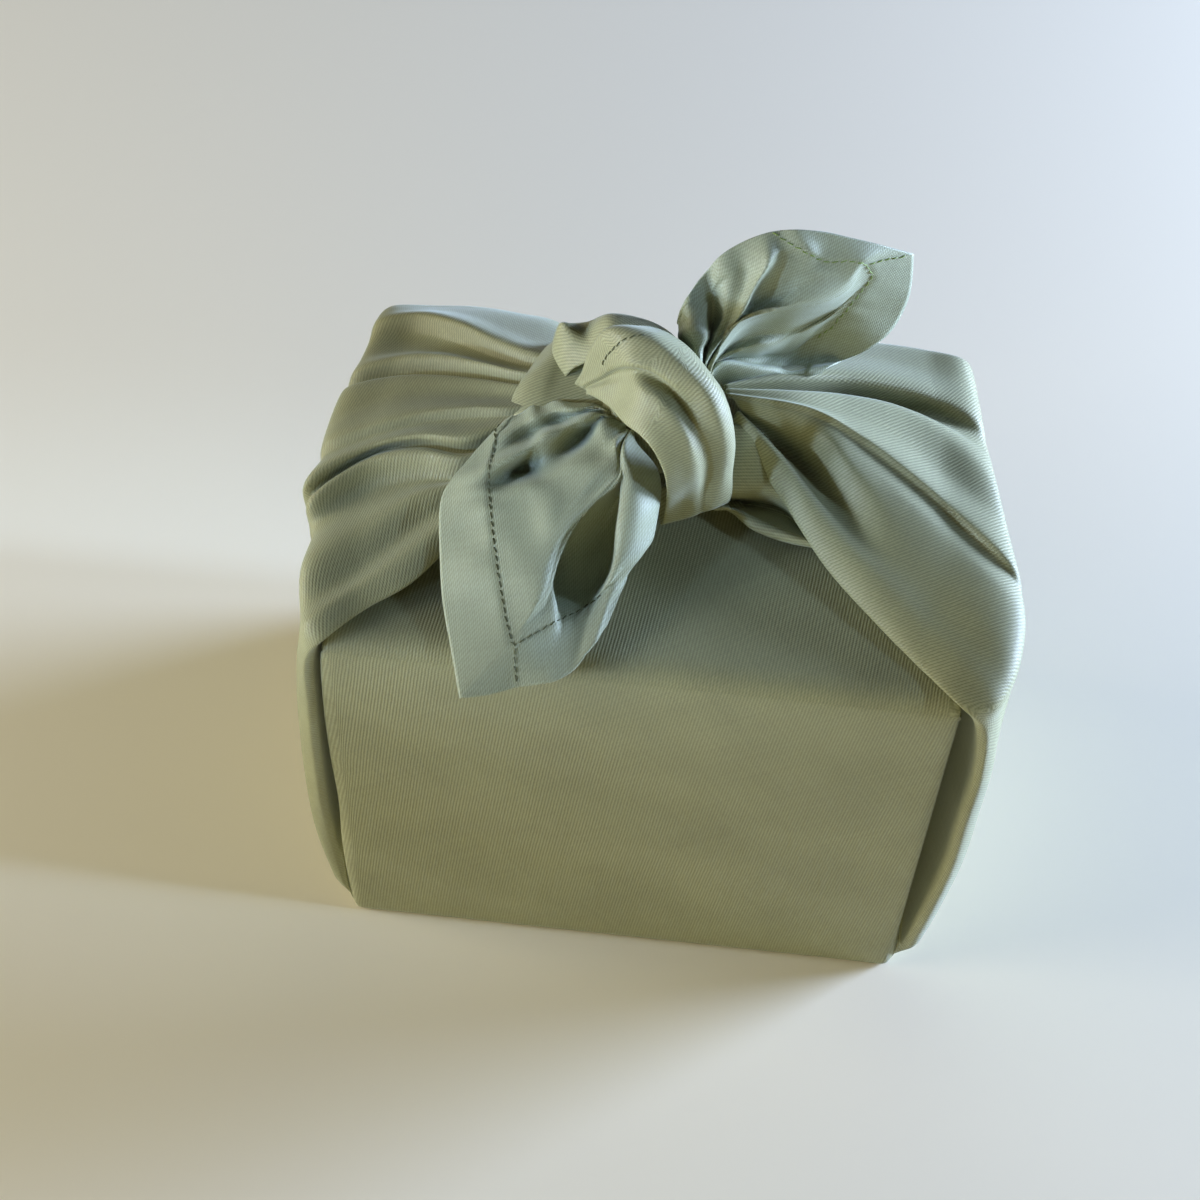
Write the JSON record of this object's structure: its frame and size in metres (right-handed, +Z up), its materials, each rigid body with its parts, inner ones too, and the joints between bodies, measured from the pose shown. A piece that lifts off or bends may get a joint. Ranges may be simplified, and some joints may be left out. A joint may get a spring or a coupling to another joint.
{
  "type": "furoshiki wrapped parcel cloth",
  "caption": "Square cotton twill cloth wrapped round a box-shaped space, with pleated corners, gathered ends and a knot with free hemmed corners on top",
  "frame": {"origin": "centre of the box-shaped space's base, on the surface the wrap stands on", "axes": "+Z up from the base, -Y out of the plain front panel, +X to the right as seen from the front"},
  "size_m": [0.2137, 0.1449, 0.2265],
  "materials": {
    "cotton_twill": "matte woven"
  },
  "bodies": {
    "root": {"wrapping_cloth": "cotton_twill"}
  },
  "joints": []
}
